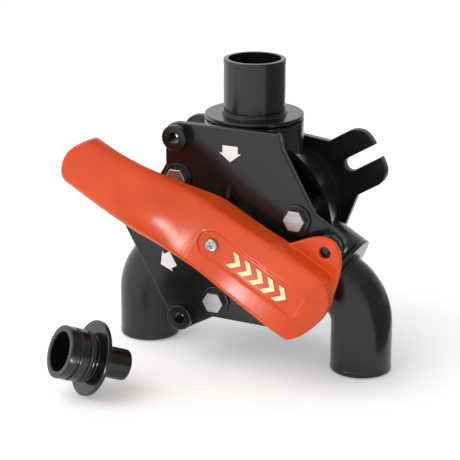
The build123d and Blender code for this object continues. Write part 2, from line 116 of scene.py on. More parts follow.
class Slot(Enum):
    """Material slots of the record."""

    BLACK = "black_plastic"
    BRACKET = "bracket_plastic"
    ORANGE = "orange_plastic"
    CREAM = "cream_print"
    WHITE = "white_plastic"
    STEEL = "stainless"
    BRASS = "brass"
    RUBBER = "seal_rubber"
    BEARING = "bearing_plastic"
    ROTOR = "rotor_plastic"


# Finishes -------------------------------------------------------------------


def plain_material(name: str) -> tuple[bpy.types.Material, bpy.types.Node]:
    """A new node material.

    Args:
        name: its name.

    Returns:
        The material and its shader node.
    """
    mat = bpy.data.materials.new(name)
    mat.use_nodes = True
    return mat, mat.node_tree.nodes["Principled BSDF"]


@dataclass(frozen=True)
class Finish:
    """A procedural finish.

    Args:
        slot: material slot it dresses.
        colour: base colour, linear.
        second: colour the broad mottling drifts towards.
        roughness: middle roughness.
        spread: how far roughness drifts each way.
        grain: scale of the fine surface texture, per metre.
        bump: height of the fine texture, metres.
        metal: metallic share.
        brushed: stretch of the texture along one axis, 1 for none.
        scuff: share of light handling marks.
        ior: index of refraction.
        painted_rim_highlight: painted highlight, brightness added to the colour of softened rims, 0
            for none.
    """

    slot: Slot
    colour: tuple[float, float, float]
    second: tuple[float, float, float]
    roughness: float = 0.3
    spread: float = 0.06
    grain: float = 900.0
    bump: float = 0.00002
    metal: float = 0.0
    brushed: float = 1.0
    scuff: float = 0.0
    ior: float = 1.5
    painted_rim_highlight: float = 0.0

    def rims(self) -> bpy.types.Material:
        """Build the finish of softened rims, made paler as a painted highlight.

        Returns:
            The finished material, named after its slot and its rims.
        """
        # Painted highlight: the rim colour is lifted to stand in for light caught on the rims.
        tone = tuple(c + self.painted_rim_highlight for c in self.colour)
        second = tuple(c * RIM_SECOND for c in tone)
        wear_and_rim_highlight = replace(self, colour=tone, second=second, spread=RIM_SPREAD, painted_rim_highlight=0.0)
        mat = wear_and_rim_highlight.material()
        mat.name = f"{self.slot.value}_rims"
        return mat

    def material(self) -> bpy.types.Material:
        """Build the node material.

        Returns:
            The finished material, named after its slot.
        """
        mat, shader = plain_material(self.slot.value)
        tree = mat.node_tree
        nodes, links = tree.nodes, tree.links
        shader.inputs["Metallic"].default_value = self.metal
        shader.inputs["IOR"].default_value = self.ior
        coords = nodes.new("ShaderNodeTexCoord")
        mapping = nodes.new("ShaderNodeMapping")
        mapping.inputs["Scale"].default_value = (1.0, 1.0, self.brushed)
        links.new(coords.outputs["Object"], mapping.inputs["Vector"])

        broad = self._noise(tree, mapping, MOTTLE_SCALE, MOTTLE_DETAIL)
        mottle = nodes.new("ShaderNodeMix")
        mottle.data_type = "RGBA"
        mottle.inputs["A"].default_value = (*self.colour, 1.0)
        mottle.inputs["B"].default_value = (*self.second, 1.0)
        links.new(self._ramp(tree, broad, *MOTTLE_FADE), mottle.inputs["Factor"])
        colour_out = mottle.outputs["Result"]

        marks = self._noise(tree, mapping, MARK_SCALE, MARK_DETAIL)
        mark_mask = self._ramp(tree, marks, *MARK_FADE)
        if self.scuff > 0:
            scuffed = nodes.new("ShaderNodeMix")
            scuffed.data_type = "RGBA"
            wear_and_rim_highlight = tuple(min(1.0, c * MARK_GAIN + MARK_LIFT) for c in self.colour)
            scuffed.inputs["B"].default_value = (*wear_and_rim_highlight, 1.0)
            links.new(colour_out, scuffed.inputs["A"])
            links.new(self._scaled(tree, mark_mask, self.scuff), scuffed.inputs["Factor"])
            colour_out = scuffed.outputs["Result"]
        links.new(colour_out, shader.inputs["Base Color"])

        rough = nodes.new("ShaderNodeMapRange")
        least = max(LEAST_ROUGHNESS, self.roughness - self.spread)
        rough.inputs["To Min"].default_value = least
        rough.inputs["To Max"].default_value = self.roughness + self.spread
        mixed = nodes.new("ShaderNodeMath")
        mixed.operation = "MAXIMUM"
        links.new(broad, mixed.inputs[0])
        links.new(self._scaled(tree, mark_mask, MARK_DULL), mixed.inputs[1])
        links.new(mixed.outputs["Value"], rough.inputs["Value"])
        links.new(rough.outputs["Result"], shader.inputs["Roughness"])

        fine = self._noise(tree, mapping, self.grain, GRAIN_DETAIL)
        bump = nodes.new("ShaderNodeBump")
        bump.inputs["Distance"].default_value = self.bump
        links.new(fine, bump.inputs["Height"])
        links.new(bump.outputs["Normal"], shader.inputs["Normal"])
        return mat

    def _noise(self, tree: bpy.types.NodeTree, mapping: bpy.types.Node, scale: float,
               detail: float) -> bpy.types.NodeSocket:
        """Noise on object coordinates.

        Args:
            tree: node tree to add to.
            mapping: node giving the coordinates.
            scale: pattern frequency per metre.
            detail: number of octaves.

        Returns:
            The factor output.
        """
        noise = tree.nodes.new("ShaderNodeTexNoise")
        noise.inputs["Scale"].default_value = scale
        noise.inputs["Detail"].default_value = detail
        tree.links.new(mapping.outputs["Vector"], noise.inputs["Vector"])
        return noise.outputs["Fac"]

    def _ramp(self, tree: bpy.types.NodeTree, source: bpy.types.NodeSocket, low: float,
              high: float) -> bpy.types.NodeSocket:
        """Smooth step of a factor.

        Args:
            tree: node tree to add to.
            source: factor to remap.
            low: value that becomes 0.
            high: value that becomes 1.

        Returns:
            The remapped output.
        """
        step = tree.nodes.new("ShaderNodeMapRange")
        step.interpolation_type = "SMOOTHSTEP"
        step.inputs["From Min"].default_value = low
        step.inputs["From Max"].default_value = high
        tree.links.new(source, step.inputs["Value"])
        return step.outputs["Result"]

    def _scaled(self, tree: bpy.types.NodeTree, source: bpy.types.NodeSocket,
                share: float) -> bpy.types.NodeSocket:
        """A factor times a share.

        Args:
            tree: node tree to add to.
            source: factor to scale.
            share: multiplier.

        Returns:
            The product.
        """
        node = tree.nodes.new("ShaderNodeMath")
        node.operation = "MULTIPLY"
        node.inputs[1].default_value = share
        tree.links.new(source, node.inputs[0])
        return node.outputs["Value"]


FINISHES = (
    Finish(Slot.BLACK, (0.0060, 0.0062, 0.0062), (0.0085, 0.0085, 0.0086), roughness=0.20,
           spread=0.05, grain=700, bump=0.000012, scuff=0.25, painted_rim_highlight=0.03),
    Finish(Slot.BRACKET, (0.0040, 0.0040, 0.0041), (0.0060, 0.0060, 0.0061), roughness=0.30,
           scuff=0.3),
    Finish(Slot.ORANGE, (0.69, 0.070, 0.009), (0.63, 0.060, 0.008), roughness=0.23,
           spread=0.04, grain=600, bump=0.000015, scuff=0.10, ior=1.4),
    Finish(Slot.CREAM, (1.0, 0.79, 0.46), (0.95, 0.72, 0.40), roughness=0.5, spread=0.08,
           grain=1500),
    Finish(Slot.WHITE, (0.88, 0.88, 0.88), (0.82, 0.82, 0.81), roughness=0.45, spread=0.08,
           grain=1200, bump=0.00001),
    Finish(Slot.STEEL, (0.47, 0.47, 0.475), (0.38, 0.38, 0.39), roughness=0.32, spread=0.08,
           grain=500, bump=0.00001, metal=1.0, brushed=6.0),
    Finish(Slot.BRASS, (0.72, 0.50, 0.20), (0.60, 0.40, 0.15), spread=0.08, grain=500,
           bump=0.00001, metal=1.0),
    Finish(Slot.RUBBER, (0.012, 0.012, 0.012), (0.02, 0.02, 0.02), roughness=0.65,
           spread=0.1, grain=1500, bump=0.00003),
    Finish(Slot.BEARING, (0.72, 0.70, 0.64), (0.66, 0.64, 0.58), roughness=0.4,
           bump=0.00001),
    Finish(Slot.ROTOR, (0.05, 0.05, 0.052), (0.07, 0.07, 0.07), roughness=0.4),
)


# Mesh tools -----------------------------------------------------------------


def placed(name: str, data: bpy.types.ID) -> bpy.types.Object:
    """Put data in the scene as an object.

    Args:
        name: name of the object.
        data: mesh, light or camera.

    Returns:
        The object.
    """
    made = bpy.data.objects.new(name, data)
    bpy.context.scene.collection.objects.link(made)
    return made


def polar(radius: float, degrees: float) -> Point2:
    """Point at a radius and angle."""
    angle = math.radians(degrees)
    return radius * math.cos(angle), radius * math.sin(angle)


def soften(line: Sequence[Point2], radius: float, steps: int = 4,
           closed: bool = False) -> Loop:
    """Round every corner of a line.

    Args:
        line: corner points.
        radius: largest rounding radius.
        steps: segments in each rounded corner.
        closed: whether the last point joins the first.

    Returns:
        The line with each corner replaced by an arc.
    """
    out: Loop = []
    count = len(line)
    for k, here in enumerate(line):
        if not closed and k in (0, count - 1):
            out.append(here)
            continue
        a = Vector(line[k - 1]) - Vector(here)
        b = Vector(line[(k + 1) % count]) - Vector(here)
        if a.length < TINY or b.length < TINY:
            out.append(here)
            continue
        turn = a.angle(b)
        if turn > NEARLY_STRAIGHT:
            out.append(here)
            continue
        reach = min(radius / math.tan(turn / 2), ROUND_SHARE * a.length, ROUND_SHARE * b.length)
        p = Vector(here) + a.normalized() * reach
        q = Vector(here) + b.normalized() * reach
        for s in range(steps + 1):
            t = s / steps
            mid = p.lerp(Vector(here), t).lerp(Vector(here).lerp(q, t), t)
            out.append((mid.x, mid.y))
    return out


def inset(loop: Loop, depth: float) -> Loop:
    """A counter-clockwise loop moved inwards.

    Args:
        loop: the closed loop.
        depth: distance to move, negative for outwards.

    Returns:
        The moved loop, with the same number of points.
    """
    out: Loop = []
    count = len(loop)
    for k, here in enumerate(loop):
        before = (Vector(here) - Vector(loop[k - 1])).normalized()
        after = (Vector(loop[(k + 1) % count]) - Vector(here)).normalized()
        normal = Vector((-before.y - after.y, before.x + after.x))
        if normal.length < FOLDED:
            normal = Vector((-before.y, before.x))
        normal.normalize()
        share = max(INSET_LEAST, normal.dot(Vector((-before.y, before.x))))
        out.append((here[0] + normal.x * depth / share, here[1] + normal.y * depth / share))
    return out


@dataclass
class Shell:
    """A closed mesh under construction in the working frame."""

    bm: bmesh.types.BMesh

    @classmethod
    def empty(cls) -> "Shell":
        """A shell with nothing in it."""
        return cls(bmesh.new())

    def ring(self, points: Iterable[Sequence[float]]) -> list[bmesh.types.BMVert]:
        """Add a ring of vertices."""
        return [self.bm.verts.new(p) for p in points]

    def bridge(self, a: list[bmesh.types.BMVert], b: list[bmesh.types.BMVert]) -> None:
        """Join two rings of the same count with quads."""
        count = len(a)
        for k in range(count):
            n = (k + 1) % count
            self.bm.faces.new((a[k], a[n], b[n], b[k]))

    def cap(self, ring: list[bmesh.types.BMVert]) -> None:
        """Close a ring with one face."""
        self.bm.faces.new(ring)

    def fill(self, ring: list[bmesh.types.BMVert]) -> None:
        """Close a flat ring with triangles, also where its outline bends inwards.

        Args:
            ring: vertices already joined by the edges of a wall.
        """
        pairs = zip(ring, ring[1:] + ring[:1])
        edges = [self.bm.edges.get(pair) for pair in pairs]
        bmesh.ops.triangle_fill(self.bm, use_beauty=True, edges=edges)

    def turned(self, profile: Loop, steps: int = 96) -> "Shell":
        """Add a lathe shape about the z axis.

        Args:
            profile: (radius, height) points of a closed profile that misses the axis.
            steps: segments round the axis.

        Returns:
            This shell.
        """
        rings = []
        for radius, height in profile:
            circle = [polar(radius, 360.0 * k / steps) for k in range(steps)]
            rings.append(self.ring((x, y, height) for x, y in circle))
        for a, b in zip(rings, rings[1:] + rings[:1]):
            self.bridge(a, b)
        return self

    def prism(self, outline: Loop, low: float, high: float, edge: float = 0.4,
              back_edge: float = 0.2, steps: int = 3) -> "Shell":
        """Add a plate with rounded rims.

        Args:
            outline: counter-clockwise outline.
            low: back height.
            high: front height.
            edge: rounding of the front rim.
            back_edge: rounding of the back rim.
            steps: segments of each rounding.

        Returns:
            This shell.
        """
        levels = []
        turns = [math.radians(90 * k / steps) for k in range(steps + 1)]
        for a in turns:
            levels.append((back_edge * (1 - math.sin(a)), low + back_edge * (1 - math.cos(a))))
        for a in turns:
            levels.append((edge * (1 - math.cos(a)), high - edge * (1 - math.sin(a))))
        rings = [self.ring((x, y, z) for x, y in inset(outline, d)) for d, z in levels]
        for a, b in zip(rings, rings[1:]):
            self.bridge(a, b)
        self.fill(rings[-1])
        self.fill(rings[0])
        return self

    def swept(self, profile: Loop, path: Path, steps: int = 96) -> "Shell":
        """Add a tube whose profile follows a flat path.

        Args:
            profile: (distance along the path, radius) points of a closed profile.
            path: gives the centre and the direction at a distance.
            steps: segments round the path.

        Returns:
            This shell.
        """
        out = Vector((0, 0, 1))
        rings = []
        for distance, radius in profile:
            centre, ahead = path(distance)
            side = ahead.cross(out)
            points = []
            for k in range(steps):
                x, y = polar(radius, 360.0 * k / steps)
                points.append(centre + side * x + out * y)
            rings.append(self.ring(points))
        for a, b in zip(rings, rings[1:] + rings[:1]):
            self.bridge(a, b)
        return self

    def moved(self, matrix: Matrix) -> "Shell":
        """Apply a transform to everything so far."""
        bmesh.ops.transform(self.bm, matrix=matrix, verts=self.bm.verts)
        return self

    def mesh(self, name: str) -> bpy.types.Mesh:
        """Turn into a mesh in the working frame.

        Args:
            name: name of the mesh.

        Returns:
            The mesh, closed and facing outwards.
        """
        bmesh.ops.remove_doubles(self.bm, verts=self.bm.verts, dist=SHELL_WELD)
        bmesh.ops.recalc_face_normals(self.bm, faces=self.bm.faces)
        mesh = bpy.data.meshes.new(name)
        self.bm.to_mesh(mesh)
        self.bm.free()
        return mesh


@dataclass
class Workshop:
    """Turns shells into dressed pieces on their bodies."""

    materials: dict[Slot, bpy.types.Material]
    # Rim finishes with a painted highlight, by slot.
    rims: dict[Slot, bpy.types.Material]

    def add(self, name: str, mesh: bpy.types.Mesh, slot: Slot, body: Body,
            replaces: Sequence[str], sharp: float = 32.0) -> bpy.types.Object:
        """Place a working-frame mesh as a finished piece.

        Args:
            name: piece name.
            mesh: mesh in the working frame.
            slot: finish of the piece.
            body: body it rides on.
            replaces: frame nodes it stands for.
            sharp: edges steeper than this stay crisp, degrees.

        Returns:
            The piece.
        """
        mesh.transform(TO_ROW)
        mesh.name = name
        mesh.materials.clear()
        mesh.materials.append(self.materials[slot])
        mesh.shade_smooth()
        mesh.set_sharp_from_angle(angle=math.radians(sharp))
        piece = placed(name, mesh)
        weighted = piece.modifiers.new("weighted", "WEIGHTED_NORMAL")
        weighted.weight = 100
        weighted.keep_sharp = True
        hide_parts(*replaces)
        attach(piece, body.value)
        LOG.info("%s: %d faces on %s", name, len(mesh.polygons), body.value)
        return piece

    def from_frame(self, node: str, slot: Slot, body: Body, edge: float,
                   paint_rim_highlight: bool = False) -> None:
        """Dress a frame node's own shape with clean shading and softened rims.

        Args:
            node: name of the frame node.
            slot: finish.
            body: body it rides on.
            edge: width of the softened rims, mm.
            paint_rim_highlight: whether the rims get a painted highlight, paler than the rest.
        """
        bm = bmesh.new()
        bm.from_mesh(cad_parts[node].data)
        bmesh.ops.remove_doubles(bm, verts=bm.verts, dist=NODE_WELD)
        flat = math.radians(NODE_FLAT)
        bmesh.ops.dissolve_limit(bm, angle_limit=flat, verts=bm.verts, edges=bm.edges)
        mesh = bpy.data.meshes.new(node)
        bm.to_mesh(mesh)
        bm.free()
        mesh.transform(TO_ROW.inverted())
        piece = self.add(f"{node}_piece", mesh, slot, body, (node,))
        bevel = piece.modifiers.new("rims", "BEVEL")
        bevel.width = edge * MM
        bevel.segments = RIM_SEGMENTS
        bevel.limit_method = "ANGLE"
        bevel.angle_limit = math.radians(RIM_ANGLE)
        # Painted highlight: the softened rims get the paler rim finish.
        if paint_rim_highlight:
            piece.data.materials.append(self.rims[slot])
            bevel.material = 1
        piece.modifiers.move(1, 0)

    def moulded(self, node: str, slot: Slot, body: Body, turn: float, voxel: float,
                soften_from: float, shape: Callable[[Vector], Vector]) -> None:
        """Give a frame node's shape the soft edges of a moulding.

        Args:
            node: name of the frame node.
            slot: finish.
            body: body it rides on.
            turn: direction of its length in the working frame, degrees.
            voxel: size of the rebuilt surface's cells, mm.
            soften_from: place along its length past which the edges are rounder, mm.
            shape: moves a point to its place on the moulded surface.
        """
        mesh = bpy.data.meshes.new_from_object(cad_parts[node])
        mesh.transform(Matrix.Rotation(math.radians(-turn), 4, "Z") @ TO_ROW.inverted())
        blank = placed("blank", mesh)
        weld = blank.modifiers.new("weld", "WELD")
        weld.merge_threshold = MOULD_WELD
        cells = blank.modifiers.new("cells", "REMESH")
        cells.mode = "VOXEL"
        cells.voxel_size = voxel
        even = blank.modifiers.new("even", "SMOOTH")
        even.factor = SMOOTH_SHARE
        even.iterations = EVEN_PASSES
        graph = bpy.context.evaluated_depsgraph_get()
        rebuilt = bpy.data.meshes.new_from_object(blank.evaluated_get(graph))
        blank.modifiers.clear()
        blank.data = rebuilt
        bpy.data.meshes.remove(mesh)
        group = blank.vertex_groups.new(name="round")
        for vert in rebuilt.vertices:
            vert.co = shape(vert.co)
            share = min(1.0, max(0.0, (vert.co.x - soften_from) / ROUND_RUN))
            if share > 0:
                group.add([vert.index], share, "REPLACE")
        rounder = blank.modifiers.new("rounder", "SMOOTH")
        rounder.factor = SMOOTH_SHARE
        rounder.iterations = ROUND_PASSES
        rounder.vertex_group = "round"
        graph = bpy.context.evaluated_depsgraph_get()
        final = bpy.data.meshes.new_from_object(blank.evaluated_get(graph))
        blank.modifiers.clear()
        bpy.data.objects.remove(blank)
        bpy.data.meshes.remove(rebuilt)
        final.transform(Matrix.Rotation(math.radians(turn), 4, "Z"))
        self.add(f"{node}_piece", final, slot, body, (node,), MOULD_SHARP)

    def dress(self, node: str, slot: Slot) -> None:
        """Give a frame node its finish.

        Args:
            node: name of the frame node.
            slot: finish.
        """
        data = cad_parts[node].data
        data.materials.clear()
        data.materials.append(self.materials[slot])


class Repeats:
    """Geometry Nodes trees that repeat a shape round an axis or along a line."""

    @staticmethod
    def _socket(tree: bpy.types.NodeTree, name: str, kind: str) -> str:
        """Add a named input.

        Args:
            tree: node tree to add to.
            name: name of the input.
            kind: type of its socket.

        Returns:
            The socket's identifier, which the modifier's values go by.
        """
        return tree.interface.new_socket(name=name, in_out="INPUT", socket_type=kind).identifier

    @classmethod
    def copies(cls, mesh: bpy.types.Mesh, count: int, turn: float, shift: Sequence[float],
               material: bpy.types.Material) -> bpy.types.Mesh:
        """Repeat a mesh with a turn and a shift between copies.

        Args:
            mesh: shape to repeat, used up by the call.
            count: number of copies.
            turn: angle about z from one copy to the next, degrees.
            shift: step from one copy to the next.
            material: finish set on the copies.

        Returns:
            One plain mesh holding every copy.
        """
        tree = bpy.data.node_groups.new("repeats", "GeometryNodeTree")
        tree.interface.new_socket(name="Geometry", in_out="OUTPUT",
                                  socket_type="NodeSocketGeometry")
        cls._socket(tree, "Geometry", "NodeSocketGeometry")
        ids = {
            "Count": cls._socket(tree, "Count", "NodeSocketInt"),
            "Turn": cls._socket(tree, "Turn", "NodeSocketFloat"),
            "Shift": cls._socket(tree, "Shift", "NodeSocketVector"),
            "Finish": cls._socket(tree, "Finish", "NodeSocketMaterial"),
        }
        nodes, links = tree.nodes, tree.links
        group = nodes.new("NodeGroupInput")
        line = nodes.new("GeometryNodeMeshLine")
        links.new(group.outputs["Count"], line.inputs["Count"])
        links.new(group.outputs["Shift"], line.inputs["Offset"])
        index = nodes.new("GeometryNodeInputIndex")
        angle = nodes.new("ShaderNodeMath")
        angle.operation = "MULTIPLY"
        links.new(index.outputs["Index"], angle.inputs[0])
        links.new(group.outputs["Turn"], angle.inputs[1])
        turned = nodes.new("ShaderNodeCombineXYZ")
        links.new(angle.outputs["Value"], turned.inputs["Z"])
        place = nodes.new("GeometryNodeInstanceOnPoints")
        links.new(line.outputs["Mesh"], place.inputs["Points"])
        links.new(group.outputs["Geometry"], place.inputs["Instance"])
        links.new(turned.outputs["Vector"], place.inputs["Rotation"])
        real = nodes.new("GeometryNodeRealizeInstances")
        links.new(place.outputs["Instances"], real.inputs["Geometry"])
        finish = nodes.new("GeometryNodeSetMaterial")
        links.new(real.outputs["Geometry"], finish.inputs["Geometry"])
        links.new(group.outputs["Finish"], finish.inputs["Material"])
        out = nodes.new("NodeGroupOutput")
        links.new(finish.outputs["Geometry"], out.inputs["Geometry"])

        holder = placed("repeating", mesh)
        modifier = holder.modifiers.new("repeats", "NODES")
        modifier.node_group = tree
        modifier[ids["Count"]] = count
        modifier[ids["Turn"]] = math.radians(turn)
        modifier[ids["Shift"]] = tuple(float(v) for v in shift)
        modifier[ids["Finish"]] = material
        graph = bpy.context.evaluated_depsgraph_get()
        made = bpy.data.meshes.new_from_object(holder.evaluated_get(graph))
        holder.modifiers.clear()
        bpy.data.objects.remove(holder)
        bpy.data.meshes.remove(mesh)
        bpy.data.node_groups.remove(tree)
        return made


# Sub-assemblies -------------------------------------------------------------


@dataclass
class TubeFitting:
    """Hose tail with its bead, flange and collar, on a straight or bent path."""

    wall_bore: float = 16.2
    tail: float = 19.0
    bead: float = 19.2
    bead_length: float = 3.4
    flange: float = 30.5
    flange_in: float = 65.0
    flange_out: float = 67.5
    step: float = 20.2
    step_length: float = 1.8
    plug: float = 25.0
    plug_in: float = 44.8
    groove: float = 22.8
    groove_at: float = 49.5
    groove_width: float = 3.0
    catch: float = 21.8
    catch_at: float = 56.9
    catch_width: float = 2.6
    bend: float = 28.0
    plug_round: float = 0.7
    bead_lead: float = 0.7
    mouth_round: float = 0.9
    wall_step: float = 1.5
    wall_lead: float = 1.0

    def plug_profile(self) -> Loop:
        """Outer line of the part inside the collar.

        Returns:
            (distance, radius) points from the inner end to the flange.
        """
        line = [(self.plug_in, self.wall_bore), (self.plug_in, self.plug)]
        for at, width, floor in ((self.groove_at, self.groove_width, self.groove),
                                 (self.catch_at, self.catch_width, self.catch)):
            line += [(at, self.plug), (at, floor), (at + width, floor), (at + width, self.plug)]
        shoulder = self.flange_out + self.step_length
        return line + [(self.flange_in, self.plug), (self.flange_in, self.flange),
                       (self.flange_out, self.flange), (self.flange_out, self.step),
                       (shoulder, self.step), (shoulder, self.tail)]

    def profile(self, end: float) -> Loop:
        """Closed section of the fitting.

        Args:
            end: distance of the open end along the path.

        Returns:
            (distance, radius) points.
        """
        bead = end - self.bead_length
        line = soften(self.plug_profile(), self.plug_round, 3)
        tail_start = self.flange_out + self.step_length + self.wall_lead
        line += self.span(tail_start, bead, self.tail)
        mouth = [(bead, self.tail), (bead + self.bead_lead, self.bead), (end, self.bead),
                 (end, self.wall_bore)]
        line += soften(mouth, self.mouth_round, 4)
        return line + self.span(end - self.wall_lead, self.plug_in + self.wall_lead, self.wall_bore)

    def span(self, start: float, stop: float, radius: float) -> Loop:
        """Evenly stepped points along a straight wall.

        Args:
            start: distance where it starts.
            stop: distance where it ends.
            radius: its radius.

        Returns:
            (distance, radius) points.
        """
        count = max(2, int(abs(stop - start) / self.wall_step))
        return [(start + (stop - start) * k / count, radius) for k in range(count + 1)]


@dataclass
class Ports:
    """Fixed inlet spigot and the two elbows that turn in their collars."""

    height: float = 42.0
    inlet_end: float = 101.4
    outlet_x: float = 73.8
    outlet_end: float = -88.4
    elbow_turn: float = 60.0
    fitting: TubeFitting = field(default_factory=TubeFitting)

    def straight(self, distance: float) -> tuple[Vector, Vector]:
        """Centre and direction along the inlet.

        Args:
            distance: how far from the valve's axis.

        Returns:
            The centre and the direction.
        """
        return Vector((0, distance, self.height)), Vector((0, 1, 0))

    def bent(self, side: int) -> tuple[Path, float]:
        """Path of an elbow that starts radially and ends straight down.

        Args:
            side: 1 for the right elbow, -1 for the left one.

        Returns:
            The path and its length.
        """
        radius = self.fitting.bend
        angle = math.radians(self.elbow_turn)
        slope = math.radians(self.elbow_turn - 90.0)
        corner_reach = self.outlet_x / math.cos(slope)
        before = corner_reach - radius * math.tan(angle / 2)
        start = Vector((math.cos(slope), math.sin(slope), 0))
        corner = start * corner_reach
        down = Vector((0, -1, 0))
        first_end = start * before
        centre = first_end + Vector((start.y, -start.x, 0)) * radius
        second_start = corner + down * radius * math.tan(angle / 2)
        total = before + radius * angle + (second_start.y - self.outlet_end)

        def path(distance: float) -> tuple[Vector, Vector]:
            """Centre and direction at a distance from the valve's axis."""
            if distance <= before:
                place, ahead = start * distance, start.copy()
            elif distance <= before + radius * angle:
                turn = (distance - before) / radius
                spin = Matrix.Rotation(-turn, 3, "Z")
                place, ahead = centre + spin @ (first_end - centre), spin @ start
            else:
                rest = distance - before - radius * angle
                place, ahead = second_start + down * rest, down.copy()
            centre_there = Vector((side * place.x, place.y, self.height))
            return centre_there, Vector((side * ahead.x, ahead.y, 0))

        return path, total

    def build(self, shop: Workshop) -> None:
        """Make the three fittings."""
        inlet = Shell.empty().swept(self.fitting.profile(self.inlet_end), self.straight)
        shop.add("inlet_spigot_tail", inlet.mesh("inlet"), Slot.BLACK, Body.VALVE,
                 ("inlet_spigot",), TUBE_SHARP)
        for side, name, body in ((-1, "left_elbow", Body.LEFT), (1, "right_elbow", Body.RIGHT)):
            path, length = self.bent(side)
            elbow = Shell.empty().swept(self.fitting.profile(length), path)
            shop.add(f"{name}_tail", elbow.mesh(name), Slot.BLACK, body, (name,), TUBE_SHARP)
        for node in ("inlet_seal", "left_elbow_seal", "right_elbow_seal"):
            shop.dress(node, Slot.RUBBER)


@dataclass
class Reducer:
    """Loose plug-in reducer for a smaller hose, lying beside the outlets with its tail low."""

    place: tuple[float, float, float] = (-58.6, -66.5, 147.6)
    tail_way: tuple[float, float, float] = (0.579, -0.3682, -0.7275)
    plug: float = 16.1
    plug_end: float = -21.9
    plug_bore: float = 12.1
    bore_floor: float = -4.0
    flange: float = 23.1
    flange_low: float = -1.6
    flange_high: float = 1.2
    tail: float = 9.6
    tail_end: float = 22.9
    tail_bore: float = 7.2
    corner: float = 0.9
    steps: int = 128
    grooves: tuple[tuple[float, float, float], ...] = (
        (-16.4, -15.0, 1.2), (-8.6, -6.4, 2.4), (-4.6, -1.6, 2.6))

    def profile(self) -> Loop:
        """Closed section about its axis.

        Returns:
            (radius, height) points.
        """
        line = [(self.plug_bore, self.plug_end), (self.plug, self.plug_end)]
        for low, high, depth in self.grooves:
            line += [(self.plug, low), (self.plug - depth, low), (self.plug - depth, high)]
            line += [(self.plug, high)] if high < self.flange_low else []
        line += [(self.flange, self.flange_low), (self.flange, self.flange_high),
                 (self.tail, self.flange_high), (self.tail, self.tail_end),
                 (self.tail_bore, self.tail_end), (self.tail_bore, self.bore_floor),
                 (self.plug_bore, self.bore_floor)]
        return soften(line, self.corner, 4, True)

    def build(self, shop: Workshop) -> None:
        """Make the reducer and dress its seal."""
        turn = Vector((0, 0, 1)).rotation_difference(Vector(self.tail_way))
        shell = Shell.empty().turned(self.profile(), self.steps)
        shell.moved(Matrix.Translation(self.place) @ turn.to_matrix().to_4x4())
        shop.add("reducer_body", shell.mesh("reducer"), Slot.BLACK, Body.REDUCER, ("reducer",),
                 TUBE_SHARP)
        shop.dress("reducer_seal", Slot.RUBBER)


@dataclass
class FrontCover:
    """Flat front plate with lugs, bolt pads, hub and the inlaid flow arrows."""

    edge: float = 0.9

    def build(self, shop: Workshop) -> None:
        """Dress the cover and its arrows."""
        shop.from_frame("front_cover", Slot.BLACK, Body.VALVE, self.edge)
        shop.dress("flow_arrows", Slot.WHITE)


@dataclass
class Housing:
    """Bowl-shaped rear housing and what is fitted into it."""

    edge: float = 0.7

    def build(self, shop: Workshop) -> None:
        """Dress the housing, its bushes, seal and inserts."""
        # The housing's rims carry a painted highlight.
        shop.from_frame("rear_housing", Slot.BLACK, Body.VALVE, self.edge, True)
        for node in ("rear_bush", "front_bush"):
            shop.dress(node, Slot.BEARING)
        shop.dress("cover_seal", Slot.RUBBER)
        shop.dress("threaded_inserts", Slot.BRASS)


@dataclass
class Bracket:
    """Three-armed bulkhead bracket."""

    edge: float = 0.6

    def build(self, shop: Workshop) -> None:
        """Dress the bracket and its screws."""
        shop.from_frame("mounting_bracket", Slot.BRACKET, Body.VALVE, self.edge)
        shop.dress("bracket_screws", Slot.STEEL)


